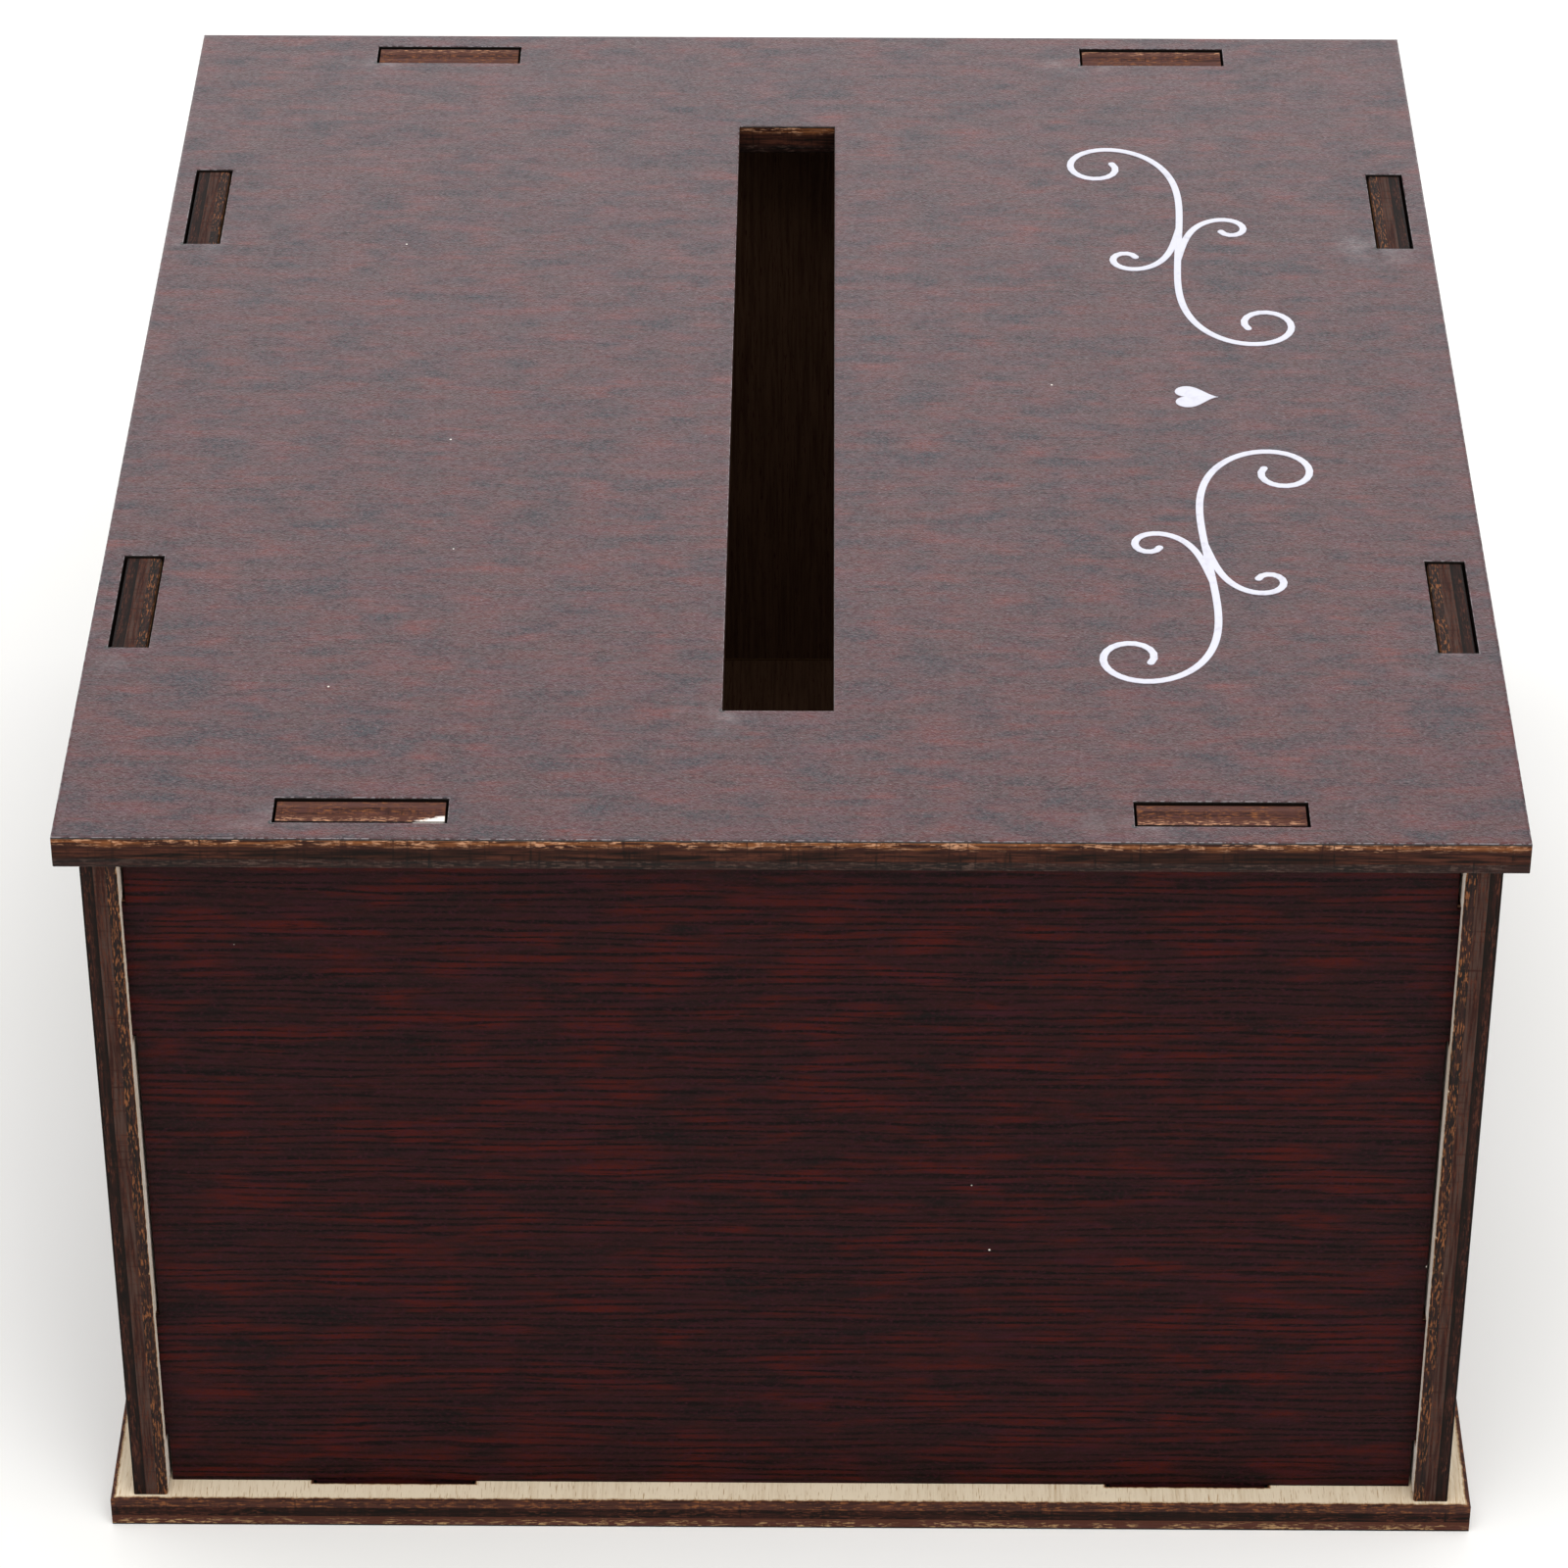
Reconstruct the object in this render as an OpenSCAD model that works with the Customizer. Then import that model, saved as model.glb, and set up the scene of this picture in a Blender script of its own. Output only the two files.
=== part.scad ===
// Card box: six laser-cut boards of three-ply wood with a decor film outside,
// tabbed into each other, with a lid that lifts off and a slot for cards.
// X runs along the card slot, Y to the back, Z up. The origin is the middle of the underside.

/* [Box] */
// Length of the lid and the base, along the card slot
box_l = 230; // [200:1:320]
// Width of the lid and the base, from front to back
box_w = 200; // [165:1:300]
// Height from the table to the top face of the lid
box_h = 125; // [80:1:240]

/* [Boards] */
// Thickness of one board, decor film included
board_t = 5; // [3:0.5:8]
// Thickness of the decor film on a board's outer face
film_t = 0.3; // [0.2:0.05:0.5]
// Thickness of the cross-grained core ply
core_t = 1.7; // [0.8:0.1:2.4]

/* [Walls] */
// Overhang of the lid past the faces of the long walls
side_rim = 3.4; // [2:0.1:10]
// Overhang of the lid past the faces of the end walls
end_rim = 4.2; // [3:0.1:12]
// How far the ends of a long wall stop short of the lid's edge
wall_setback = 1; // [0:0.1:1.5]
// Gap between an end wall and each long wall
end_gap = 0.4; // [0.1:0.1:1]

/* [Tabs] */
// Length of each tab
tab_l = 23; // [12:0.5:28]
// Clearance around a tab in its mortise, on every side
tab_clear = 0.4; // [0.1:0.05:0.8]
// How far the end of a tab stays below the face that it shows in
tab_sink = 0.3; // [0.1:0.1:1]
// From the lid's short edge to the nearest tab of a long wall
long_tab_in = 46.5; // [20:0.5:60]
// From the lid's long edge to the nearest tab of an end wall
end_tab_in = 30; // [15:0.5:45]
// From a wall's top or bottom edge to the nearest tab that joins two walls
side_tab_in = 9; // [4:0.5:9]

/* [Card slot] */
// Length of the card slot
slot_l = 168; // [60:1:170]
// Width of the card slot
slot_w = 15.5; // [6:0.5:24]
// How far the slot sits behind the middle of the lid
slot_shift = 2; // [-10:0.5:10]

/* [Print] */
// Thickness of the printed ink
ink_t = 0.1; // [0.05:0.05:0.2]
// Width of a printed line
line_w = 1.1; // [0.6:0.1:2]
// From the lid's front edge to the middle of the print
print_in = 40; // [32:1:60]
// Length of half a scroll, measured along its line
stem_l = 58; // [40:1:62]
// From the middle of the print to the middle of a scroll
scroll_x = 46; // [40:1:50]
// Length of a branch off a scroll, measured along its line
branch_l = 26; // [16:1:30]
// Width of the printed heart
heart_w = 6; // [4:0.5:10]

/* [Hidden] */

film_color = "#4a2329";
edge_color = "#6e4527";
core_color = "#3b2417";
bare_color = "#cdbb96";
ink_color = "#f1f1f4";

face_t = (board_t - film_t - core_t) / 2;  // the inner and the outer ply, each
wall_h = box_h - 2 * board_t;
long_wall_l = box_l - 2 * wall_setback;
long_wall_y = box_w / 2 - side_rim - board_t;  // inner face of a long wall
end_wall_x = box_l / 2 - end_rim - board_t;  // inner face of an end wall
end_wall_w = 2 * (long_wall_y - end_gap);
tab_out = board_t - tab_sink;  // how far a tab reaches into the next board

// Centres of two tabs that start a given way in from the ends of a length
function pair(length, inset) = let (c = length / 2 - inset - tab_l / 2) [-c, c];
long_tabs = pair(box_l, long_tab_in);
end_tabs = pair(box_w, end_tab_in);
side_tabs = [for (c = pair(wall_h, side_tab_in)) wall_h / 2 + c];  // from a wall's foot

// Shape of the print
stem_turn = 400;  // how far a scroll's line turns from its middle to its end, in degrees
scroll_tilt = 4;
branch_start = 5;  // from a scroll's middle to where a branch leaves it
branch_lean = 8;  // angle at which it leaves
branch_turn = 330;
heart_stretch = 1.2;  // how much taller the heart is than the plain curve
stem_steps = 48;
branch_steps = 30;
heart_steps = 60;

// ---- outlines of the boards, as cut ----

module mortise(turned) {
    across = board_t + 2 * tab_clear;
    along = tab_l + 2 * tab_clear;
    square(turned ? [across, along] : [along, across], center = true);
}

// A wall standing on Y = 0, with tabs along its foot and its top
module tabbed_panel(width, centres) {
    translate([-width / 2, 0]) square([width, wall_h]);
    for (c = centres) translate([c - tab_l / 2, -tab_out]) square([tab_l, wall_h + 2 * tab_out]);
}

module long_wall_outline() {
    difference() {
        tabbed_panel(long_wall_l, long_tabs);
        for (x = [-1, 1], z = side_tabs)
            translate([x * (end_wall_x + board_t / 2), z]) mortise(true);
    }
}

module end_wall_outline() {
    reach = long_wall_y + tab_out;
    tabbed_panel(end_wall_w, end_tabs);
    for (z = side_tabs) translate([-reach, z - tab_l / 2]) square([2 * reach, tab_l]);
}

module base_outline() {
    difference() {
        square([box_l, box_w], center = true);
        for (x = long_tabs, y = [-1, 1])
            translate([x, y * (long_wall_y + board_t / 2)]) mortise(false);
        for (x = [-1, 1], y = end_tabs)
            translate([x * (end_wall_x + board_t / 2), y]) mortise(true);
    }
}

module lid_outline() {
    difference() {
        base_outline();
        translate([0, slot_shift]) square([slot_l, slot_w], center = true);
    }
}

// ---- layers of a board, counted outwards from its inner face ----

module inner_ply() linear_extrude(face_t) children();
module core_ply() translate([0, 0, face_t]) linear_extrude(core_t) children();
module outer_ply() translate([0, 0, face_t + core_t]) linear_extrude(face_t) children();
module film() translate([0, 0, board_t - film_t]) linear_extrude(film_t) children();

// ---- places of the boards: each puts a board's inner face where it belongs ----

module at_base() translate([0, 0, board_t]) rotate([180, 0, 0]) children();
module at_lid() translate([0, 0, box_h - board_t]) children();
module at_front() translate([0, -long_wall_y, board_t]) rotate([90, 0, 0]) children();
module at_back() translate([0, long_wall_y, board_t]) rotate([90, 0, 180]) children();
module at_left() translate([-end_wall_x, 0, board_t]) rotate([90, 0, -90]) children();
module at_right() translate([end_wall_x, 0, board_t]) rotate([90, 0, 90]) children();

// ---- base ----

module base_film() color(film_color) at_base() film() base_outline();
module base_outer_ply() color(edge_color) at_base() outer_ply() base_outline();
module base_core_ply() color(core_color) at_base() core_ply() base_outline();
module base_inner_ply() color(bare_color) at_base() inner_ply() base_outline();

// ---- front wall ----

module front_film() color(film_color) at_front() film() long_wall_outline();
module front_outer_ply() color(edge_color) at_front() outer_ply() long_wall_outline();
module front_core_ply() color(core_color) at_front() core_ply() long_wall_outline();
module front_inner_ply() color(bare_color) at_front() inner_ply() long_wall_outline();

// ---- back wall ----

module back_film() color(film_color) at_back() film() long_wall_outline();
module back_outer_ply() color(edge_color) at_back() outer_ply() long_wall_outline();
module back_core_ply() color(core_color) at_back() core_ply() long_wall_outline();
module back_inner_ply() color(bare_color) at_back() inner_ply() long_wall_outline();

// ---- left end wall ----

module left_film() color(film_color) at_left() film() end_wall_outline();
module left_outer_ply() color(edge_color) at_left() outer_ply() end_wall_outline();
module left_core_ply() color(core_color) at_left() core_ply() end_wall_outline();
module left_inner_ply() color(bare_color) at_left() inner_ply() end_wall_outline();

// ---- right end wall ----

module right_film() color(film_color) at_right() film() end_wall_outline();
module right_outer_ply() color(edge_color) at_right() outer_ply() end_wall_outline();
module right_core_ply() color(core_color) at_right() core_ply() end_wall_outline();
module right_inner_ply() color(bare_color) at_right() inner_ply() end_wall_outline();

// ---- lid ----

module lid_film() color(film_color) at_lid() film() lid_outline();
module lid_outer_ply() color(edge_color) at_lid() outer_ply() lid_outline();
module lid_core_ply() color(core_color) at_lid() core_ply() lid_outline();
module lid_inner_ply() color(bare_color) at_lid() inner_ply() lid_outline();

// ---- print on the lid: two mirrored scrolls with a heart between them ----

// Half of an S-shaped line, from its middle to the curl at its end, in n steps. Its
// heading turns slowly at first and ever faster towards the end.
function half_scroll(len, turn, n, i = 0, p = [0, 0]) =
    let (a = turn * pow((i + 0.5) / n, 3), step = len / n)
    i > n ? [] : concat([p], half_scroll(len, turn, n, i + 1, p + step * [cos(a), sin(a)]));

// The whole S: its second half is the first one turned about the middle
function scroll(len, turn, n) =
    let (half = half_scroll(len, turn, n))
    concat([for (i = [n:-1:1]) -half[i]], half);

// Unit normal of a row of points at point i, to the left of the way it runs
function left_of(points, i) =
    let (n = len(points) - 1, d = points[min(i + 1, n)] - points[max(i - 1, 0)])
    [-d[1], d[0]] / norm(d);

// A line of even width with round ends along a row of points
module inked(points) {
    n = len(points) - 1;
    right = [for (i = [0:n]) points[i] - left_of(points, i) * line_w / 2];
    left = [for (i = [n:-1:0]) points[i] + left_of(points, i) * line_w / 2];
    polygon(concat(right, left));
    for (p = [points[0], points[n]]) translate(p) circle(d = line_w, $fn = 32);
}

// One scroll with a smaller curl branching off each side of its stem
module scroll_with_branches() {
    inked(scroll(stem_l, stem_turn, stem_steps));
    for (a = [0, 180])
        rotate(a) translate([branch_start, 0]) rotate(180 - branch_lean)
            inked(half_scroll(branch_l, -branch_turn, branch_steps));
}

// A heart with its notch up, as wide as heart_w
module heart() {
    polygon([for (a = [0:360 / heart_steps:359])
        heart_w / 32 * [16 * pow(sin(a), 3), heart_stretch
            * (13 * cos(a) - 5 * cos(2 * a) - 2 * cos(3 * a) - cos(4 * a))]]);
}

module on_lid() translate([0, print_in - box_w / 2, box_h]) linear_extrude(ink_t) children();

module printed_flourish() color(ink_color) on_lid() {
    for (side = [0, 1])
        mirror([side, 0]) translate([scroll_x, 0]) rotate(-scroll_tilt) scroll_with_branches();
}

module printed_heart() color(ink_color) on_lid() heart();

base_film();
base_outer_ply();
base_core_ply();
base_inner_ply();
front_film();
front_outer_ply();
front_core_ply();
front_inner_ply();
back_film();
back_outer_ply();
back_core_ply();
back_inner_ply();
left_film();
left_outer_ply();
left_core_ply();
left_inner_ply();
right_film();
right_outer_ply();
right_core_ply();
right_inner_ply();
lid_film();
lid_outer_ply();
lid_core_ply();
lid_inner_ply();
printed_flourish();
printed_heart();
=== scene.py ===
"""Looks of a tabbed plywood card box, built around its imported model.

The file is laid out as an add-on: each operator makes one group of like pieces, or the
stage, and the panel lists them. Run as a script, it makes everything in order.
"""

import math

import bpy
import numpy as np
from bpy.props import FloatProperty, FloatVectorProperty, PointerProperty
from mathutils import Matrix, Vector


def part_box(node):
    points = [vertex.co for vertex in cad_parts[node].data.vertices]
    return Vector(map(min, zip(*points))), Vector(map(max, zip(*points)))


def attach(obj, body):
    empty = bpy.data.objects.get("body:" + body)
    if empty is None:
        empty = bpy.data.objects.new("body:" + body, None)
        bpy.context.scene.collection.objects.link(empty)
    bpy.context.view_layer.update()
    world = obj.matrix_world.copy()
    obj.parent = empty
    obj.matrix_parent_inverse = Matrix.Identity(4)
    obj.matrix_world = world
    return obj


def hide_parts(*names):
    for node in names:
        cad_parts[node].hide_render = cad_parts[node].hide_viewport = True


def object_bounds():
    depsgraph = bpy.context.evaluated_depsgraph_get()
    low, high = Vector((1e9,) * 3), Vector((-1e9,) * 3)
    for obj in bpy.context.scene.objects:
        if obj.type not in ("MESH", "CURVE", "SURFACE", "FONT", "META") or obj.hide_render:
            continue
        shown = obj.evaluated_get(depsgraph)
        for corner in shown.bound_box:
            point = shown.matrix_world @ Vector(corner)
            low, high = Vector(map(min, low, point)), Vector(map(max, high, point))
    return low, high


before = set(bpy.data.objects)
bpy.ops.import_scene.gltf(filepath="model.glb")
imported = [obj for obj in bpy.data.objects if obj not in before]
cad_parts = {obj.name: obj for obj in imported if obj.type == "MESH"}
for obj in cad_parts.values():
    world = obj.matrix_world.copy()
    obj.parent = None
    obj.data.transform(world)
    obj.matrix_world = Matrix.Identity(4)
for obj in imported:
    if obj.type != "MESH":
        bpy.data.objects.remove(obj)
cad_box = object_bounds()

bl_info = {
    "name": "Card box looks",
    "version": (1, 0, 0),
    "blender": (4, 5, 0),
    "location": "3D View > Sidebar > Card Box",
    "description": "Veneers, decor film and print of a laser-cut plywood card box",
    "category": "Object",
}

MM = 0.001
ANY_HEIGHT = 10000  # in millimetres, for a mask that any height lies in
FLAT = 0.99  # the least part of a normal along an axis for a face that points that way
SMOOTH_ANGLE = math.radians(40)  # sharper edges than this stay sharp
BOARDS = ("lid", "base", "front", "back", "left", "right")
BODY_OF_BOARD = {board: "lid" if board == "lid" else "box" for board in BOARDS}
# The way the veneer's fibres and the film's printed grain run on each board, as an axis.
FILM_GRAIN = {"lid": 1, "base": 1, "left": 1, "right": 1, "front": 0, "back": 0}
VENEER_GRAIN = {"lid": 0, "base": 0, "left": 2, "right": 2, "front": 2, "back": 2}


def linear(hex_colour):
    """An sRGB hex colour as linear red, green, blue and alpha."""
    parts = [int(hex_colour[i:i + 2], 16) / 255 for i in (1, 3, 5)]
    return [c / 12.92 if c <= 0.04045 else ((c + 0.055) / 1.055) ** 2.4 for c in parts] + [1.0]


def colour(name, hex_colour, description):
    """A colour property with its default given as an sRGB hex value."""
    return FloatVectorProperty(
        name=name, description=description, subtype="COLOR", size=4,
        min=0.0, max=1.0, default=linear(hex_colour),
    )


def length(name, millimetres, description):
    """A length property with its default given in millimetres."""
    return FloatProperty(
        name=name, description=description, unit="LENGTH", precision=5,
        min=0.0, default=millimetres * MM,
    )


# ---------------------------------------------------------------- properties


class CardBoxSizes(bpy.types.PropertyGroup):
    """Sizes of the fine detail on the cut boards."""

    film_round: length("Film edge", 0.14, "Rounding where the laser melted the film's edge")
    bare_round: length("Bare edge", 0.25, "Rounding along the cut edges of the bare face")
    ink_round: length("Ink edge", 0.04, "Rounding along the edges of the printed ink")
    scorch_ring: length("Scorch ring", 0.45, "Width of the ring that is scorched at a cut")
    clean_ring: length("Clean ring", 0.6, "Width over which the scorching fades out")


class CardBoxColours(bpy.types.PropertyGroup):
    """Colours of the box's finishes."""

    film_ground: colour("Film ground", "#3d1f1e", "Main brown of the decor film")
    film_dark: colour("Film dark", "#221c1b", "Dark patches printed in the film")
    # Painted sheen: the lid's dark print patches are drawn bluish for the cool sheen on its face;
    # the walls' patches use film_dark
    film_cool_sheen_tint: colour("Film cool", "#23222a", "Bluish dark patches of the lid's film")
    film_line: colour("Film lines", "#1c1110", "Dark lines and pores printed in the film")
    film_red: colour("Film red", "#611f18", "Red streaks printed in the film")
    film_plum: colour("Film plum", "#4b222c", "Plum streaks printed in the film")
    # Painted sheen: fine light specks drawn on the lid only, for the mottled sheen of its pebbled
    # face
    film_sheen_grit: colour("Film grit", "#5f4a4d", "Fine light grain of the lid's film")
    haze: colour("Smoke haze", "#8d8486", "Smoke marks on the film near a cut")
    # Painted highlight: the pale line drawn along the lid's cut edges, where the melted film lip
    # catches the light
    lip_highlight: colour("Film lip", "#7c7275", "Film that melted into a lip along the lid's cuts")
    char: colour("Char", "#140e0b", "Wood burnt black by the laser")
    char_red: colour("Red char", "#2e1813", "Wood burnt to a dark red-brown")
    smoked: colour("Smoked", "#47352e", "Core wood greyed by the smoke")
    scorched: colour("Scorched", "#4a291e", "Wood browned deeply by the laser")
    ruddy: colour("Ruddy", "#50302a", "Wood browned evenly to a red-brown")
    toasted: colour("Toasted", "#7a4a2a", "Wood browned lightly by the laser")
    fleck: colour("Fleck", "#bd8c6b", "Fibres that the laser only tanned")
    tanned: colour("Tanned", "#a5835c", "Bare wood browned a little beside a cut")
    bare: colour("Bare wood", "#e0d0b6", "Sanded basswood veneer")
    bare_dark: colour("Bare wood grain", "#c9b395", "Darker fibres of the basswood veneer")
    bare_pale: colour("Pale bare wood", "#ece3da", "Basswood left white at a wall's end")
    inside_painted_shade: colour("Stain", "#74543f", "Thin brown stain on the box's inside")
    # Painted shade: a brown drawn over the box's inside for the shade in the closed box, darker
    # along the grain
    inside_painted_shade_grain: colour("Stain in the grain", "#593d2d", "The stain where the fibres drank it")
    ink: colour("Ink", "#cdcdd8", "Screen-printed white ink")
    ink_thin: colour("Thin ink", "#bdbbc6", "Ink where it lies thinner")
    dust: colour("Dust", "#d9d2c8", "Sawdust specks on the film")
    floor: colour("Floor", "#f4f3f1", "Plain pale floor")
    floor_shade: colour("Floor shade", "#f0efec", "Slightly darker parts of the floor")


class CardBoxStudio(bpy.types.PropertyGroup):
    """Camera and lights."""

    distance: length("Camera distance", 768, "From the camera to the point it aims at")
    aim_height: length("Aim height", 134.4, "Height of the point that the camera aims at")
    aim_side: length("Aim offset", 0.9, "How far behind the middle the camera aims")
    floor_radius: length("Floor radius", 12000, "Radius of the round floor")
    floor_drop: length("Floor drop", 0.03, "Gap that keeps the floor off the base film")
    elevation: FloatProperty(
        name="Elevation", description="Camera's angle above the horizon", subtype="ANGLE",
        default=math.radians(35.3),
    )
    swing: FloatProperty(
        name="Swing", description="Turn of the view away from the box's long axis",
        subtype="ANGLE", default=math.radians(-0.46),
    )
    lens: FloatProperty(
        name="Lens", description="Focal length on a 36 mm sensor, in millimetres",
        min=10.0, default=131.65,
    )
    back_light: FloatProperty(
        name="Back softbox", description="Power that gives the lid its sheen", unit="POWER",
        min=0.0, default=10.0,
    )
    back_tint: FloatVectorProperty(
        name="Back tint", description="Colour of the back softbox", subtype="COLOR", size=3,
        min=0.0, max=1.0, default=(0.95, 0.96, 1.0),
    )
    top_light: FloatProperty(
        name="Top softbox", description="Power of the light overhead", unit="POWER",
        min=0.0, default=22.0,
    )
    side_light: FloatProperty(
        name="Side softbox", description="Power of the fill beside the camera", unit="POWER",
        min=0.0, default=6.0,
    )
    room: FloatProperty(
        name="Room light", description="Strength of the light from all round",
        min=0.0, default=0.72,
    )


class CardBoxSettings(bpy.types.PropertyGroup):
    """All settings of the card box."""

    sizes: PointerProperty(type=CardBoxSizes)
    colours: PointerProperty(type=CardBoxColours)
    studio: PointerProperty(type=CardBoxStudio)


# ---------------------------------------------------------------- geometry


def thin_axis(node):
    """The axis along a layer's thickness, 0 for X to 2 for Z."""
    low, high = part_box(node)
    return int(np.argmin(high - low))


def outward(node):
    """1 if the layer's board faces the positive end of its thin axis, and -1 if not."""
    axis = thin_axis(node)
    low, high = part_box(node)
    middle = (cad_box[0] + cad_box[1])[axis]
    return 1 if (low + high)[axis] > middle else -1


def cut_outline(node):
    """The cut edges of a layer in its board's plane, as an array of two-point segments."""
    mesh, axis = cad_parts[node].data, thin_axis(node)
    mesh.calc_loop_triangles()
    plane = [i for i in range(3) if i != axis]
    uses = {}
    for triangle in mesh.loop_triangles:
        if triangle.normal[axis] < FLAT:
            continue
        points = [mesh.vertices[v].co for v in triangle.vertices]
        points = [tuple(round(p[i], 7) for i in plane) for p in points]
        for a, b in zip(points, points[1:] + points[:1]):
            uses.setdefault(frozenset((a, b)), []).append((a, b))
    return np.array([sides[0] for sides in uses.values() if len(sides) == 1])


def cut_outs(node):
    """Low and high corners of the holes cut through a layer, in its board's plane."""
    segments = cut_outline(node)
    low, high = segments.min((0, 1)), segments.max((0, 1))
    links = {}
    for a, b in segments:
        links.setdefault(tuple(a), []).append(tuple(b))
        links.setdefault(tuple(b), []).append(tuple(a))
    holes = []
    while links:
        loop, todo = set(), [next(iter(links))]
        while todo:
            point = todo.pop()
            if point in links:
                loop.add(point)
                todo.extend(links.pop(point))
        corners = np.array(sorted(loop))
        if corners.min(0).min() > low.min() and (corners.max(0) < high).all():
            holes.append((corners.min(0), corners.max(0)))
    return holes


def mark_cut_distance(piece, node):
    """Stores how far each point lies from the nearest cut edge, in millimetres."""
    segments = cut_outline(node)
    plane = [i for i in range(3) if i != thin_axis(node)]
    points = np.array([v.co for v in piece.data.vertices])[:, plane]
    start, along = segments[:, 0], segments[:, 1] - segments[:, 0]
    rel = points[:, None] - start[None]
    share = np.clip((rel * along).sum(2) / (along**2).sum(1), 0, 1)
    distance = np.linalg.norm(rel - share[..., None] * along, axis=2).min(1) / MM
    stored = piece.data.attributes.new("cut_mm", "FLOAT", "POINT")
    stored.data.foreach_set("value", distance.astype(np.float32))


def layer_copy(node, name):
    """A merged copy of a CAD layer with its flat faces joined, alone selected."""
    bpy.ops.object.select_all(action="DESELECT")
    piece = bpy.data.objects.new(name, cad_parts[node].data.copy())
    bpy.context.collection.objects.link(piece)
    piece.data.name = name
    piece.data.materials.clear()
    piece.select_set(True)
    bpy.context.view_layer.objects.active = piece
    bpy.ops.mesh.customdata_custom_splitnormals_clear()
    bpy.ops.object.mode_set(mode="EDIT")
    bpy.ops.mesh.select_all(action="SELECT")
    bpy.ops.mesh.remove_doubles(threshold=0.001 * MM)
    bpy.ops.mesh.dissolve_limited(angle_limit=math.radians(1))
    bpy.ops.object.mode_set(mode="OBJECT")
    return piece


def pick_faces(piece, test):
    """Enters edit mode with only the faces selected that pass the test."""
    bpy.ops.object.mode_set(mode="EDIT")
    bpy.ops.mesh.select_mode(type="FACE")
    bpy.ops.mesh.select_all(action="DESELECT")
    bpy.ops.object.mode_set(mode="OBJECT")
    for face in piece.data.polygons:
        face.select = test(face)
    bpy.ops.object.mode_set(mode="EDIT")


def pick_rim(piece, axis, sign):
    """Enters edit mode with the sharp edges round the faces that point one way selected."""
    bpy.ops.object.mode_set(mode="EDIT")
    bpy.ops.mesh.select_mode(type="EDGE")
    bpy.ops.mesh.select_all(action="DESELECT")
    bpy.ops.object.mode_set(mode="OBJECT")
    facing = {}
    for face in piece.data.polygons:
        flat = face.normal[axis] * sign > FLAT
        for key in face.edge_keys:
            facing.setdefault(key, []).append(flat)
    for edge in piece.data.edges:
        edge.select = sorted(facing[edge.key]) == [False, True]
    bpy.ops.object.mode_set(mode="EDIT")


def round_rim(piece, axis, sign, radius):
    """Rounds the cut edges on one face of a layer."""
    pick_rim(piece, axis, sign)
    bpy.ops.mesh.bevel(offset=radius, segments=2, affect="EDGES")
    bpy.ops.object.mode_set(mode="OBJECT")


def ring_faces(piece, axis, sign, widths):
    """Adds rings of faces just inside the cut edges, so that the marks there stay narrow."""
    pick_faces(piece, lambda face: face.normal[axis] * sign > FLAT)
    for width in widths:
        bpy.ops.mesh.inset(thickness=width, use_boundary=True, use_even_offset=True)
    bpy.ops.object.mode_set(mode="OBJECT")


def complete(piece, node, material):
    """Marks, smooths and paints a finished layer, and sets it on its board's body."""
    mark_cut_distance(piece, node)
    bpy.ops.object.shade_smooth_by_angle(angle=SMOOTH_ANGLE)
    piece.data.materials.append(material)
    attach(piece, BODY_OF_BOARD[node.split("_")[0]])
    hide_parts(node)


# ---------------------------------------------------------------- materials


def add(tree, kind, sockets=(), **settings):
    """Adds a node with its settings. A socket is given a value or another node's output."""
    node = tree.nodes.new(kind)
    for name, value in settings.items():
        setattr(node, name, value)
    for key, value in dict(sockets).items():
        if isinstance(value, bpy.types.NodeSocket):
            tree.links.new(value, node.inputs[key])
        else:
            node.inputs[key].default_value = value
    return node


def new_material(name):
    """An empty material, its node tree and the object's coordinates in millimetres."""
    material = bpy.data.materials.new(name)
    material.use_nodes = True
    tree = material.node_tree
    tree.nodes.clear()
    place = add(tree, "ShaderNodeTexCoord").outputs["Object"]
    place = add(
        tree, "ShaderNodeVectorMath", {0: place, "Scale": 1 / MM}, operation="SCALE"
    ).outputs[0]
    return material, tree, place


def streaks(tree, place, periods, levels, detail=2.0, shift=0.0):
    """A mask of noise with its own period along each axis, spread between two levels."""
    scaled = add(
        tree, "ShaderNodeMapping",
        {"Vector": place, "Scale": [1 / p for p in periods], "Location": (shift, shift, shift)},
    )
    cloud = add(
        tree, "ShaderNodeTexNoise",
        {"Vector": scaled.outputs[0], "Scale": 1.0, "Detail": detail, "Roughness": 0.55},
    )
    spread = add(
        tree, "ShaderNodeMapRange",
        {"Value": cloud.outputs[0], "From Min": levels[0], "From Max": levels[1]},
        interpolation_type="SMOOTHSTEP",
    )
    return spread.outputs[0]


def printed_lines(tree, place, grain, thin, spacing):
    """A mask of dark wavy lines that run with the grain, spacing millimetres apart."""
    across = 3 - grain - thin
    wave_unit = math.tau / 20  # the wave texture's own period
    periods = along(across, spacing / wave_unit, 45)
    scaled = add(tree, "ShaderNodeMapping", {"Vector": place, "Scale": [1 / p for p in periods]})
    wave = add(
        tree, "ShaderNodeTexWave",
        {"Vector": scaled.outputs[0], "Scale": 1.0, "Distortion": 7.0, "Detail": 3.0,
         "Detail Scale": 1.3, "Detail Roughness": 0.55},
        bands_direction="XYZ"[across],
    )
    line = add(
        tree, "ShaderNodeMapRange",
        {"Value": wave.outputs["Fac"], "From Max": 0.5, "To Min": 1.0, "To Max": 0.0},
        interpolation_type="SMOOTHSTEP",
    )
    return line.outputs[0]


def along(axis, length_along, length_across):
    """Periods of a pattern that is drawn out along one axis, in millimetres."""
    return [length_along if i == axis else length_across for i in range(3)]


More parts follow.
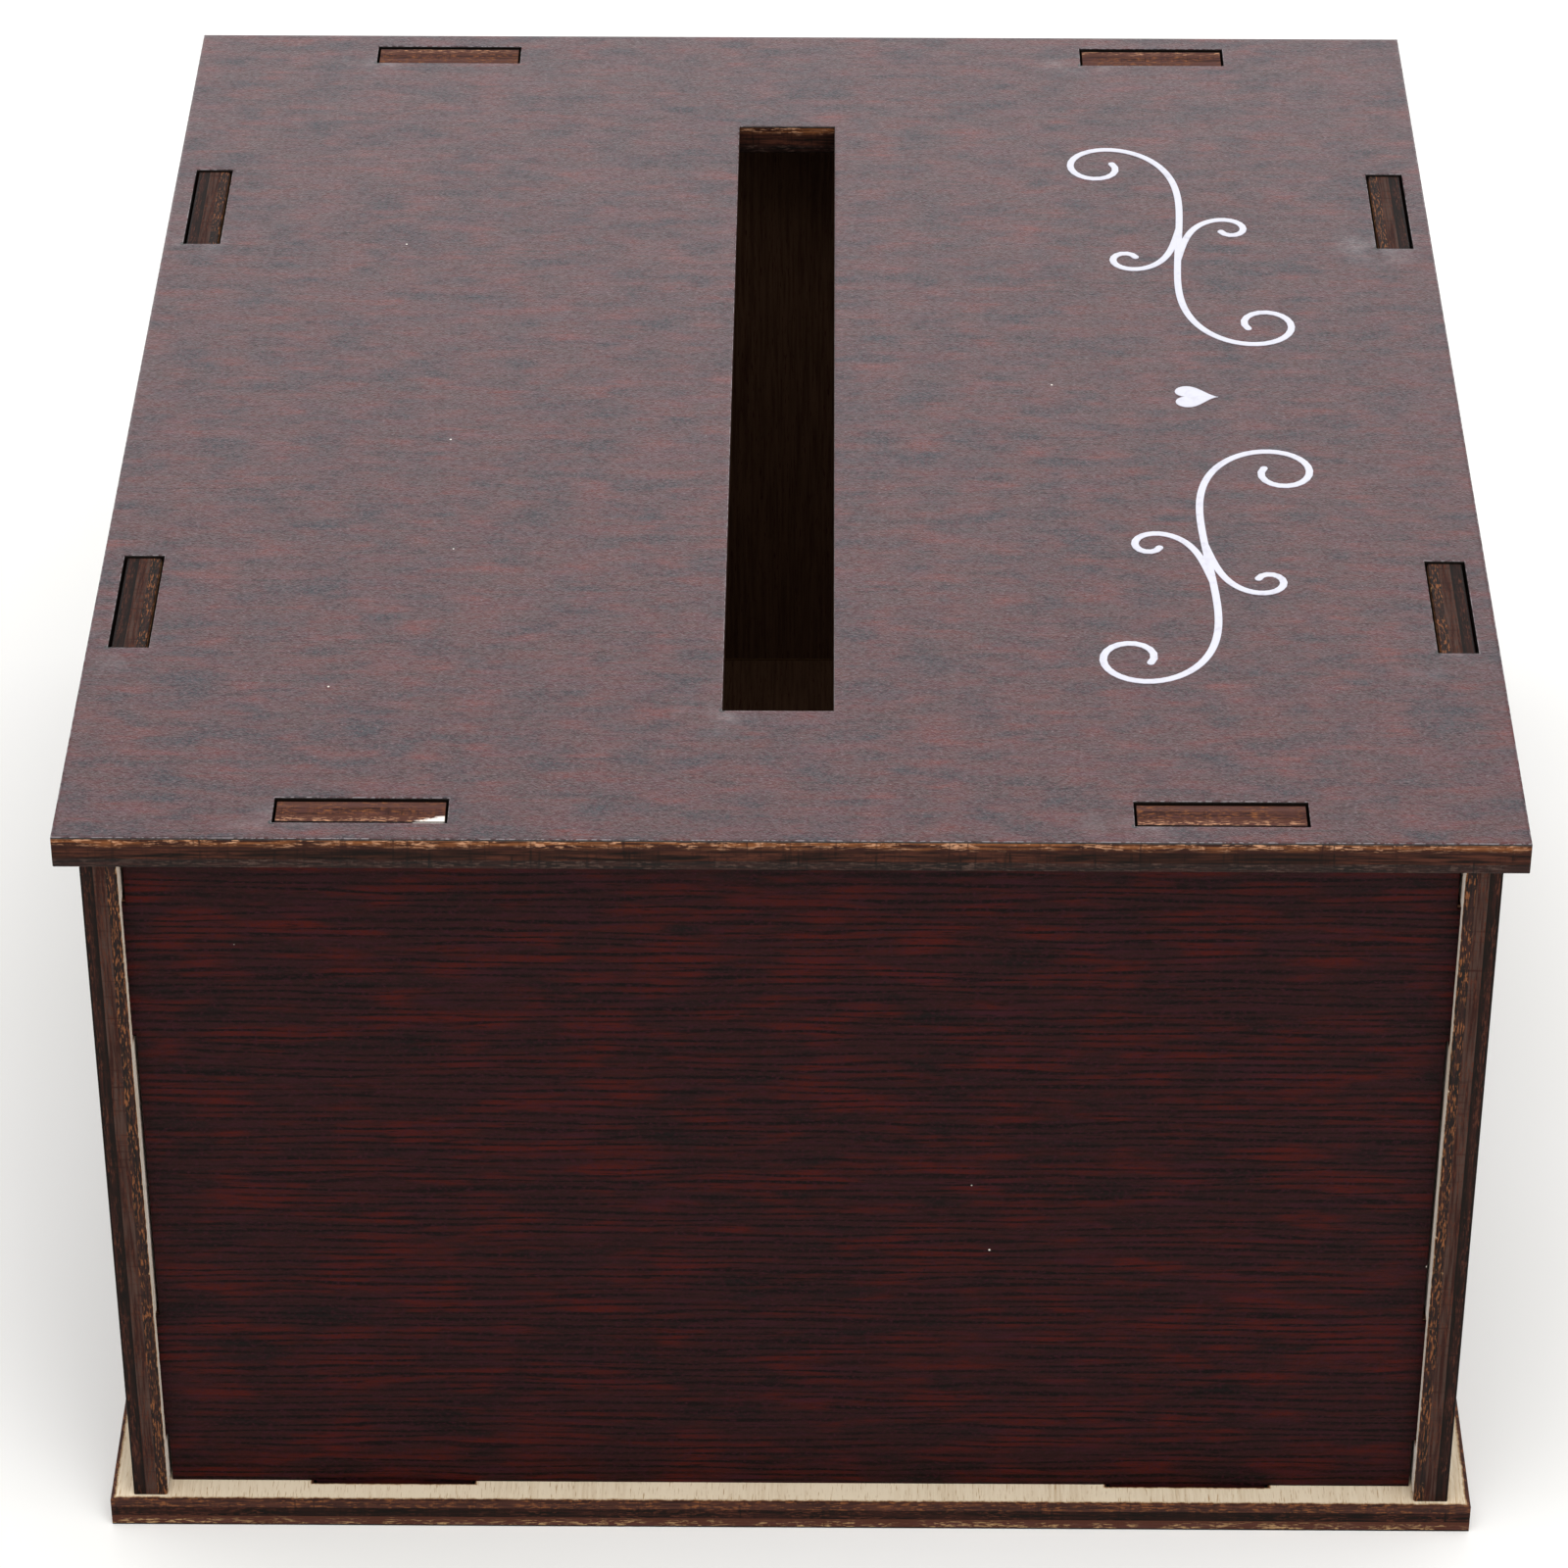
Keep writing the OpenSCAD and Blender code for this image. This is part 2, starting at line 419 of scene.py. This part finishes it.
def painted(tree, ground, coats):
    """A ground colour with coats over it, each one or more masks and the colour they let through."""
    for mask, *others, coat in coats:
        for other in others:
            both = add(tree, "ShaderNodeMath", {0: mask, 1: other}, operation="MULTIPLY")
            mask = both.outputs[0]
        mix = add(tree, "ShaderNodeMix", {0: mask, 6: ground, 7: coat}, data_type="RGBA")
        ground = mix.outputs[2]
    return ground


def specks(tree, place, spacing, size):
    """A mask of small round specks that lie about spacing millimetres apart."""
    cells = add(tree, "ShaderNodeTexVoronoi", {"Vector": place, "Scale": 1 / spacing})
    rim = size / spacing
    mask = add(
        tree, "ShaderNodeMapRange",
        {"Value": cells.outputs["Distance"], "From Min": 0.7 * rim, "From Max": rim,
         "To Min": 1.0, "To Max": 0.0},
    )
    return mask.outputs[0]


def near_cut(tree, place, start, reach, ragged):
    """A mask that is 1 up to start millimetres from a cut edge and 0 past reach.

    The rim of the mask wanders by about ragged millimetres.
    """
    distance = add(tree, "ShaderNodeAttribute", attribute_name="cut_mm").outputs["Fac"]
    wander = add(
        tree, "ShaderNodeTexNoise",
        {"Vector": place, "Scale": 1 / 1.1, "Detail": 4.0, "Roughness": 0.7},
    )
    pushed = add(
        tree, "ShaderNodeMath", {0: wander.outputs[0], 1: -2 * ragged, 2: distance},
        operation="MULTIPLY_ADD",
    )
    mask = add(
        tree, "ShaderNodeMapRange",
        {
            "Value": pushed.outputs[0], "From Min": start - ragged, "From Max": reach - ragged,
            "To Min": 1.0, "To Max": 0.0,
        },
        interpolation_type="SMOOTHSTEP",
    )
    return mask.outputs[0]


def near_box(tree, place, low, high, reach):
    """A mask that is 1 in a box and fades to 0 at reach millimetres from it.

    Corners without a height stand for a box of any height.
    """
    centre, half = (low + high) / 2 / MM, (high - low) / 2 / MM
    if len(low) == 2:
        centre, half = [*centre, 0], [*half, ANY_HEIGHT]
    steps = (("SUBTRACT", centre), ("ABSOLUTE", None), ("SUBTRACT", half), ("MAXIMUM", (0, 0, 0)))
    for operation, other in steps:
        sockets = {0: place} if other is None else {0: place, 1: other}
        place = add(tree, "ShaderNodeVectorMath", sockets, operation=operation).outputs[0]
    far = add(tree, "ShaderNodeVectorMath", {0: place}, operation="LENGTH").outputs["Value"]
    mask = add(
        tree, "ShaderNodeMapRange", {"Value": far, "From Max": reach, "To Min": 1.0, "To Max": 0.0}
    )
    return mask.outputs[0]


def surface(tree, sockets):
    """The material's shader and its output."""
    shader = add(tree, "ShaderNodeBsdfPrincipled", sockets)
    add(tree, "ShaderNodeOutputMaterial", {"Surface": shader.outputs[0]})


def burnt_ply(tree, place, thin, tone):
    """The colour of a ply's laser-cut edge: bands along the ply, tanned flecks and soot.

    The real bands are about 0.1 mm apart. They are drawn a little coarser, so that they show.
    """
    tints = bpy.context.scene.card_box.colours
    bands = streaks(tree, place, along(thin, 0.4, 9), (0.36, 0.66), detail=3)
    dashes = streaks(tree, place, along(thin, 0.2, 1.3), (0.52, 0.62), shift=31)
    patches = streaks(tree, place, along(thin, 4, 5), (0.32, 0.56), shift=57)
    soot = streaks(tree, place, along(thin, 8, 0.6), (0.5, 0.8), shift=83)
    dark, middle, light = (getattr(tints, name) for name in tone)
    return painted(
        tree, dark,
        [
            (bands, middle),
            (dashes, patches, light),
            (soot, patches, dark),
        ],
    )


def depth_fade(tree, place, node, share):
    """A mask that is 1 at a layer's inner face and 0 past a share of its thickness."""
    axis = thin_axis(node)
    sides = sorted(abs(corner[axis]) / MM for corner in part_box(node))
    if node.startswith("base"):
        sides.reverse()
    split = add(tree, "ShaderNodeSeparateXYZ", {0: place}).outputs[axis]
    wavy = add(
        tree, "ShaderNodeTexNoise", {"Vector": place, "Scale": 1 / 5, "Detail": 3.0}
    ).outputs[0]
    thickness, waviness = sides[1] - sides[0], 0.9
    wide = thickness * waviness
    depth = add(tree, "ShaderNodeMath", {0: split}, operation="ABSOLUTE").outputs[0]
    depth = add(
        tree, "ShaderNodeMath", {0: wavy, 1: wide, 2: depth}, operation="MULTIPLY_ADD"
    ).outputs[0]
    first = sides[0] + wide / 2
    mask = add(
        tree, "ShaderNodeMapRange",
        {"Value": depth, "From Min": first, "From Max": first + thickness * share,
         "To Min": 1.0, "To Max": 0.0},
        interpolation_type="SMOOTHSTEP",
    )
    return mask.outputs[0]


def cavity():
    """Low and high corners, seen from above, of the space inside the walls.

    They lie a little way into the walls, so that an edge there doesn't show.
    """
    low = (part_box("left_inner_ply")[0].x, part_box("front_inner_ply")[0].y)
    high = (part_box("right_inner_ply")[1].x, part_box("back_inner_ply")[1].y)
    return np.array(low), np.array(high)


def torn_corner(tree, place):
    """A mask of the torn corner on top of one tab of the left wall: a wedge with ragged sides."""
    outer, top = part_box("left_film")[0].x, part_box("left_film")[1].z
    mortises = [low for low, high in cut_outs("lid_film") if low[0] < outer < high[0]]
    tab_end = min(low[1] for low in mortises if low[1] > 0)
    width, run, depth = 1.4, 4.6, 0.6
    low = np.array((outer, tab_end, top - depth * MM))
    block = near_box(tree, place, low, low + np.array((width, run, depth)) * MM, 0.3)
    slope = add(
        tree, "ShaderNodeVectorMath", {0: place, 1: (1 / width, 1 / run, 0)},
        operation="DOT_PRODUCT",
    ).outputs["Value"]
    wander = streaks(tree, place, (0.5, 0.9, 0.5), (0.2, 0.8), shift=7)
    slope = add(
        tree, "ShaderNodeMath", {0: wander, 1: 0.5, 2: slope}, operation="MULTIPLY_ADD"
    ).outputs[0]
    start = outer / MM / width + tab_end / MM / run
    taper = add(
        tree, "ShaderNodeMapRange",
        {"Value": slope, "From Min": start + 1.3, "From Max": start + 1.6,
         "To Min": 1.0, "To Max": 0.0},
    ).outputs[0]
    return block, taper


# ---------------------------------------------------------------- finishes

GROUP_OF_BOARD = {
    "lid": "lid", "base": "base", "front": "long_wall", "back": "long_wall",
    "left": "end_wall", "right": "end_wall",
}
# How each group's plies are burnt at their cuts: dark, middle and light colours
EDGE_TONES = {
    "lid": {
        "face": ("char_red", "toasted", "fleck"),
        "core": ("char", "scorched", "char_red"),
        "bare": ("char", "char_red", "smoked"),
    },
    "base": {
        "face": ("scorched", "ruddy", "tanned"),
        "core": ("char", "char_red", "scorched"),
        "bare": ("char_red", "scorched", "toasted"),
    },
    "long_wall": {
        "face": ("char", "char_red", "scorched"),
        "core": ("char_red", "smoked", "scorched"),
        "bare": ("char", "char_red", "toasted"),
    },
    "end_wall": {
        "face": ("scorched", "ruddy", "fleck"),
        "core": ("char_red", "ruddy", "toasted"),
        "bare": ("scorched", "ruddy", "toasted"),
    },
}


# Painted shade: the walls' film is drawn darker than the lid's, though both are the same film, for
# the shade the walls stand in
WALL_FILM_PAINTED_SHADE = 0.42


def film_material(board):
    """Melamine-faced decor paper: a mahogany print under a satin, slightly pebbled face."""
    group = GROUP_OF_BOARD[board]
    tints, grain = bpy.context.scene.card_box.colours, FILM_GRAIN[board]
    material, tree, place = new_material(f"decor_film_{group}")
    thin = thin_axis(f"{board}_film")
    # Painted sheen: the sheen on the lid hides most of the print's contrast, so the lid's print is
    # drawn with less
    red_levels, plum_levels, shade_levels = (
        ((0.36, 0.8), (0.42, 0.9), (0.38, 0.78)) if group == "lid"
        else ((0.42, 0.68), (0.5, 0.82), (0.46, 0.8))
    )
    run = 8 if group == "lid" else 12
    red = streaks(tree, place, along(grain, run, 2.6), red_levels, detail=3)
    plum = streaks(tree, place, along(grain, run, 1.7), plum_levels, detail=3, shift=40)
    shade = streaks(tree, place, along(grain, run, 2.8), shade_levels, detail=3, shift=75)
    lines = printed_lines(tree, place, grain, thin, 1.35)
    broken = streaks(
        tree, place, along(grain, 16, 2.2), (0.35, 0.95) if group == "lid" else (0.2, 0.56), shift=12
    )
    pores = streaks(tree, place, along(grain, 3.2, 0.3), (0.54, 0.8), shift=23)
    mottle = streaks(tree, place, along(grain, 0.6, 0.35), (0.42, 0.85), shift=64)
    sheen_grit = streaks(tree, place, along(grain, 0.55, 0.38), (0.55, 0.85), detail=1, shift=28)
    lip_highlight_gaps = streaks(tree, place, (0.8, 0.8, 0.8), (0.44, 0.58), detail=3, shift=91)
    colour_here = painted(
        tree, tints.film_ground,
        [(red, tints.film_red), (plum, tints.film_plum),
         # Painted sheen: bluish dark patches on the lid
         (shade, tints.film_cool_sheen_tint if group == "lid" else tints.film_dark),
         (lines, broken, tints.film_line), (pores, tints.film_line), (mottle, tints.film_plum)],
    )
    if group != "lid":
        # Painted shade: the walls' film colour is darkened by this factor
        painted_shade = add(
            tree, "ShaderNodeHueSaturation", {"Color": colour_here, "Value": WALL_FILM_PAINTED_SHADE}
        )
        colour_here = painted_shade.outputs[0]
    coats = [
        (specks(tree, place, spacing, size), tint)
        for spacing, size, tint in ((13, 0.2, tints.dust), (9, 0.22, tints.film_line))
    ]
    if group == "lid":
        # Painted sheen: light specks over the lid's film
        coats = [(sheen_grit, tints.film_sheen_grit)] + smudges(tree, place, tints) + coats
    if group == "end_wall":
        coats.append((*torn_corner(tree, place), tints.bare_pale))
    if group == "lid":
        # Painted highlight: a broken pale line along the lid's cut edges, for light caught by the
        # melted film lip
        lip_highlight = near_cut(tree, place, 0.12, 0.24, 0.06)
        # Painted shade: along the slot's far (+X) and right (-Y) edges, which face away from the
        # lights, the lip is drawn in red char
        slot = max(cut_outs("lid_film"), key=lambda hole: (hole[1] - hole[0]).max())
        shaded_slot_sides = [corner + np.array((0.6, -0.6)) * MM for corner in slot]
        coats.append((lip_highlight, lip_highlight_gaps, tints.lip_highlight))
        coats.append((lip_highlight, near_box(tree, place, *shaded_slot_sides, 0.2), tints.char_red))
    coats.append((near_cut(tree, place, 0.02, 0.06, 0.01), tints.char))
    pebbles = add(
        tree, "ShaderNodeTexNoise", {"Vector": place, "Scale": 1 / 0.35, "Detail": 2.0}
    )
    bump = add(
        tree, "ShaderNodeBump",
        {"Height": pebbles.outputs[0], "Distance": 0.09 * MM},
    )
    gloss = add(
        tree, "ShaderNodeMapRange", {"Value": shade, "To Min": 0.4, "To Max": 0.47}
    )
    sockets = {
        "Base Color": painted(tree, colour_here, coats), "Roughness": gloss.outputs[0],
        "Specular IOR Level": 0.05, "Normal": bump.outputs[0],
    }
    if group == "lid":
        pebbled = streaks(tree, place, along(grain, 0.7, 0.42), (0.25, 0.75), shift=52)
        sheen = add(
            tree, "ShaderNodeMapRange", {"Value": pebbled, "To Min": 0.3, "To Max": 0.7}
        )
        sockets["Specular IOR Level"] = sheen.outputs[0]
    surface(tree, sockets)
    return material


def smudges(tree, place, tints):
    """Smoke smears where the laser pierced the lid, with a tiny burnt mark in each."""
    clouds = streaks(tree, place, (6, 6, 6), (0.42, 0.95), detail=3, shift=11)
    reach = 8
    near = []
    for low, high in cut_outs("lid_film"):
        corner = np.array((low[0], high[1]))
        near.append(near_box(tree, place, corner, corner, reach))
    smear = near[0]
    for other in near[1:]:
        smear = add(tree, "ShaderNodeMath", {0: smear, 1: other}, operation="MAXIMUM").outputs[0]
    pierced = add(
        tree, "ShaderNodeMapRange",
        {"Value": smear, "From Min": 1 - 0.6 / reach, "From Max": 1 - 0.4 / reach},
    )
    return [(clouds, smear, tints.haze), (pierced.outputs[0], tints.char)]


def mortise_soot(tree, place, board, layer, reach):
    """Coats of char round the mortises, which lie alike in all four quarters of a board."""
    char = bpy.context.scene.card_box.colours.char
    folded = add(tree, "ShaderNodeVectorMath", {0: place}, operation="ABSOLUTE").outputs[0]
    near = [hole for hole in cut_outs(f"{board}_{layer}") if min(hole[0]) > 0]
    return [(near_box(tree, folded, *hole, reach), char) for hole in near]


def face_material(board):
    """Basswood veneer under the film, of which only the laser-burnt edge shows."""
    group = GROUP_OF_BOARD[board]
    tints, thin = bpy.context.scene.card_box.colours, thin_axis(f"{board}_outer_ply")
    material, tree, place = new_material(f"face_veneer_{group}")
    dark = getattr(tints, EDGE_TONES[group]["face"][0])
    coats = [(depth_fade(tree, place, f"{board}_outer_ply", 0.7), dark)]
    if thin == 2:
        coats += mortise_soot(tree, place, board, "outer_ply", 0.5)
    if group == "end_wall":
        coats.append((*torn_corner(tree, place), tints.bare_pale))
    base = painted(tree, burnt_ply(tree, place, thin, EDGE_TONES[group]["face"]), coats)
    surface(tree, {"Base Color": base, "Roughness": 0.62, "Specular IOR Level": 0.08})
    return material


def core_material(board):
    """Cross-grained core veneer, burnt darkest, and black where two cuts lie close."""
    group = GROUP_OF_BOARD[board]
    thin = thin_axis(f"{board}_core_ply")
    material, tree, place = new_material(f"core_veneer_{group}")
    base = burnt_ply(tree, place, thin, EDGE_TONES[group]["core"])
    if thin == 2:
        base = painted(tree, base, mortise_soot(tree, place, board, "core_ply", 8))
    surface(tree, {"Base Color": base, "Roughness": 0.7, "Specular IOR Level": 0.08})
    return material


def bare_material(board):
    """Sanded basswood veneer, pale and matt, with a brown scorch along every cut."""
    group = GROUP_OF_BOARD[board]
    tints, thin = bpy.context.scene.card_box.colours, thin_axis(f"{board}_inner_ply")
    grain, ragged = VENEER_GRAIN[board], 0.9 if group == "long_wall" else 0.4
    material, tree, place = new_material(f"bare_basswood_{group}")
    fibres = streaks(tree, place, along(grain, 12, 0.5), (0.35, 0.7), detail=4)
    ticks = streaks(tree, place, along(grain, 2.4, 0.18), (0.58, 0.7), shift=19)
    cloudy = streaks(tree, place, along(grain, 60, 12), (0.35, 0.7), shift=45)
    wood = painted(
        tree, tints.bare_pale if group == "long_wall" else tints.bare,
        [(cloudy, fibres, tints.bare_dark), (ticks, tints.bare_dark),
         (fibres, ticks, tints.tanned)],
    )
    burnt = burnt_ply(tree, place, thin, EDGE_TONES[group]["bare"])
    # Painted shade: the inside of the box is drawn brown, darker in the fibres, for the shade in
    # there
    painted_inside_shade = painted(tree, tints.inside_painted_shade, [(fibres, tints.inside_painted_shade_grain), (ticks, tints.scorched)])
    base = painted(
        tree, wood,
        [(near_box(tree, place, *cavity(), 0.3), painted_inside_shade),
         (near_cut(tree, place, 0.35, 0.75, ragged), tints.tanned),
         (near_cut(tree, place, 0.25, 0.45, ragged),
          tints.scorched if group == "base" else tints.toasted),
         (near_cut(tree, place, 0.1, 0.3, ragged / 2), burnt)],
    )
    bump = add(tree, "ShaderNodeBump", {"Height": fibres, "Distance": 0.03 * MM})
    surface(tree, {
        "Base Color": base, "Roughness": 0.66, "Specular IOR Level": 0.15,
        "Normal": bump.outputs[0],
    })
    return material


def ink_material():
    """Screen-printed white ink: opaque and satin, a little thinner here and there."""
    tints = bpy.context.scene.card_box.colours
    material, tree, place = new_material("white_screen_ink")
    thin_spots = streaks(tree, place, (1.4, 1.4, 1.4), (0.52, 0.8), detail=4)
    base = painted(tree, tints.ink, [(thin_spots, tints.ink_thin)])
    bump = add(tree, "ShaderNodeBump", {"Height": thin_spots, "Distance": 0.01 * MM})
    surface(tree, {"Base Color": base, "Roughness": 0.5, "Normal": bump.outputs[0]})
    return material


def floor_material():
    """A matt painted board, white with a faint unevenness."""
    tints = bpy.context.scene.card_box.colours
    material, tree, place = new_material("matt_white_paint")
    uneven = streaks(tree, place, (160, 160, 160), (0.3, 0.7))
    base = painted(tree, tints.floor, [(uneven, tints.floor_shade)])
    surface(tree, {"Base Color": base, "Roughness": 0.9, "Specular IOR Level": 0.1})
    return material


def finish_for(board, layer):
    """The material of one layer of a board, made once for boards that are alike."""
    name = f"{LAYERS[layer][1]}_{GROUP_OF_BOARD[board]}"
    return bpy.data.materials.get(name) or LAYERS[layer][2](board)


# Per layer: what its piece is called, its material's name and maker, and a slot name
LAYERS = {
    "film": ("film_sheet", "decor_film", film_material, "decor_film"),
    "outer_ply": ("face_veneer", "face_veneer", face_material, "face_veneer"),
    "core_ply": ("core_veneer", "core_veneer", core_material, "core_veneer"),
    "inner_ply": ("bare_veneer", "bare_basswood", bare_material, "bare_veneer"),
}


# ---------------------------------------------------------------- pieces


def make_board(board):
    """All four layers of one board, with their edges rounded as the laser left them."""
    sizes = bpy.context.scene.card_box.sizes
    rings = (sizes.scorch_ring, sizes.clean_ring)
    for layer, (title, _, _, slot) in LAYERS.items():
        node = f"{board}_{layer}"
        axis, sign = thin_axis(node), outward(node)
        piece = layer_copy(node, f"{board}_{title}")
        if layer == "film":
            round_rim(piece, axis, sign, sizes.film_round)
            ring_faces(piece, axis, sign, rings)
        elif layer == "inner_ply":
            round_rim(piece, axis, -sign, sizes.bare_round)
            ring_faces(piece, axis, -sign, rings)
        complete(piece, node, finish_for(board, layer))


class CARD_BOX_OT_base(bpy.types.Operator):
    """Make the base board"""

    bl_idname = "card_box.base"
    bl_label = "Base"

    def execute(self, context):
        make_board("base")
        return {"FINISHED"}


class CARD_BOX_OT_long_walls(bpy.types.Operator):
    """Make the front and back walls"""

    bl_idname = "card_box.long_walls"
    bl_label = "Front and Back Walls"

    def execute(self, context):
        for board in ("front", "back"):
            make_board(board)
        return {"FINISHED"}


class CARD_BOX_OT_end_walls(bpy.types.Operator):
    """Make the left and right walls"""

    bl_idname = "card_box.end_walls"
    bl_label = "Left and Right Walls"

    def execute(self, context):
        for board in ("left", "right"):
            make_board(board)
        return {"FINISHED"}


class CARD_BOX_OT_lid(bpy.types.Operator):
    """Make the lid board with its mortises and card slot"""

    bl_idname = "card_box.lid"
    bl_label = "Lid"

    def execute(self, context):
        make_board("lid")
        return {"FINISHED"}


class CARD_BOX_OT_lid_print(bpy.types.Operator):
    """Make the white scrolls and the heart printed on the lid"""

    bl_idname = "card_box.lid_print"
    bl_label = "Print on the Lid"

    def execute(self, context):
        ink = ink_material()
        for node in ("printed_flourish", "printed_heart"):
            piece = layer_copy(node, node.replace("printed", "ink"))
            round_rim(piece, 2, 1, context.scene.card_box.sizes.ink_round)
            bpy.ops.object.shade_smooth_by_angle(angle=SMOOTH_ANGLE)
            piece.data.materials.append(ink)
            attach(piece, "lid")
            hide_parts(node)
        return {"FINISHED"}


class CARD_BOX_OT_stage(bpy.types.Operator):
    """Make the floor, the camera and the lights"""

    bl_idname = "card_box.stage"
    bl_label = "Stage"

    def execute(self, context):
        studio = context.scene.card_box.studio
        bpy.ops.object.select_all(action="DESELECT")
        bpy.ops.mesh.primitive_circle_add(
            vertices=96, radius=studio.floor_radius, fill_type="NGON",
            location=(0, 0, -studio.floor_drop),
        )
        floor = context.active_object
        floor.name = floor.data.name = "studio_floor"
        floor.data.materials.append(floor_material())

        low = cad_box[0]
        aim = Vector((low.x, studio.aim_side, studio.aim_height))
        forward = Vector((
            math.cos(studio.elevation) * math.cos(studio.swing),
            -math.cos(studio.elevation) * math.sin(studio.swing),
            -math.sin(studio.elevation),
        ))
        bpy.ops.object.camera_add(location=aim - forward * studio.distance)
        camera = context.active_object
        camera.rotation_euler = forward.to_track_quat("-Z", "Y").to_euler()
        camera.data.lens, camera.data.sensor_width = studio.lens, 36
        camera.data.clip_start = 0.01
        context.scene.camera = camera

        # Each softbox: its name, its place and size in metres, and its power
        for name, place, size, power in (
            ("back_softbox", (1.75, 0.0, 0.88), (2.0, 0.9), studio.back_light),
            ("top_softbox", (-0.45, 0.0, 1.7), (1.8, 1.8), studio.top_light),
            ("side_softbox", (-1.3, -0.9, 1.1), (1.2, 1.0), studio.side_light),
        ):
            bpy.ops.object.light_add(type="AREA", location=place)
            light = context.active_object
            light.name = light.data.name = name
            light.rotation_euler = (-Vector(place)).to_track_quat("-Z", "Y").to_euler()
            light.data.shape = "RECTANGLE"
            light.data.size, light.data.size_y = size
            light.data.energy = power
            light.data.color = studio.back_tint if name == "back_softbox" else (1, 1, 1)
            light.visible_camera = False

        world = bpy.data.worlds.new("studio_room")
        world.use_nodes = True
        world.node_tree.nodes["Background"].inputs["Color"].default_value = (1, 1, 1, 1)
        world.node_tree.nodes["Background"].inputs["Strength"].default_value = studio.room
        context.scene.world = world
        context.scene.view_settings.view_transform = "Standard"
        return {"FINISHED"}


class CARD_BOX_PT_panel(bpy.types.Panel):
    """Sizes, colours and pieces of the card box"""

    bl_idname = "CARD_BOX_PT_panel"
    bl_label = "Card Box"
    bl_space_type = "VIEW_3D"
    bl_region_type = "UI"
    bl_category = "Card Box"

    def draw(self, context):
        settings = context.scene.card_box
        for operator in OPERATORS:
            self.layout.operator(operator.bl_idname)
        for title, group in (
            ("Sizes", settings.sizes), ("Colours", settings.colours), ("Studio", settings.studio)
        ):
            box = self.layout.box()
            box.label(text=title)
            for name in group.__annotations__:
                box.prop(group, name)


GROUPS = (CardBoxSizes, CardBoxColours, CardBoxStudio, CardBoxSettings)
OPERATORS = (
    CARD_BOX_OT_base, CARD_BOX_OT_long_walls, CARD_BOX_OT_end_walls, CARD_BOX_OT_lid,
    CARD_BOX_OT_lid_print, CARD_BOX_OT_stage,
)


def register():
    for group in GROUPS + OPERATORS + (CARD_BOX_PT_panel,):
        bpy.utils.register_class(group)
    bpy.types.Scene.card_box = PointerProperty(type=CardBoxSettings)


def unregister():
    del bpy.types.Scene.card_box
    for group in reversed(GROUPS + OPERATORS + (CARD_BOX_PT_panel,)):
        bpy.utils.unregister_class(group)


def main():
    """Makes the whole box and its stage."""
    register()
    bpy.ops.card_box.base()
    bpy.ops.card_box.long_walls()
    bpy.ops.card_box.end_walls()
    bpy.ops.card_box.lid()
    bpy.ops.card_box.lid_print()
    bpy.ops.card_box.stage()


if __name__ == "__main__":
    main()
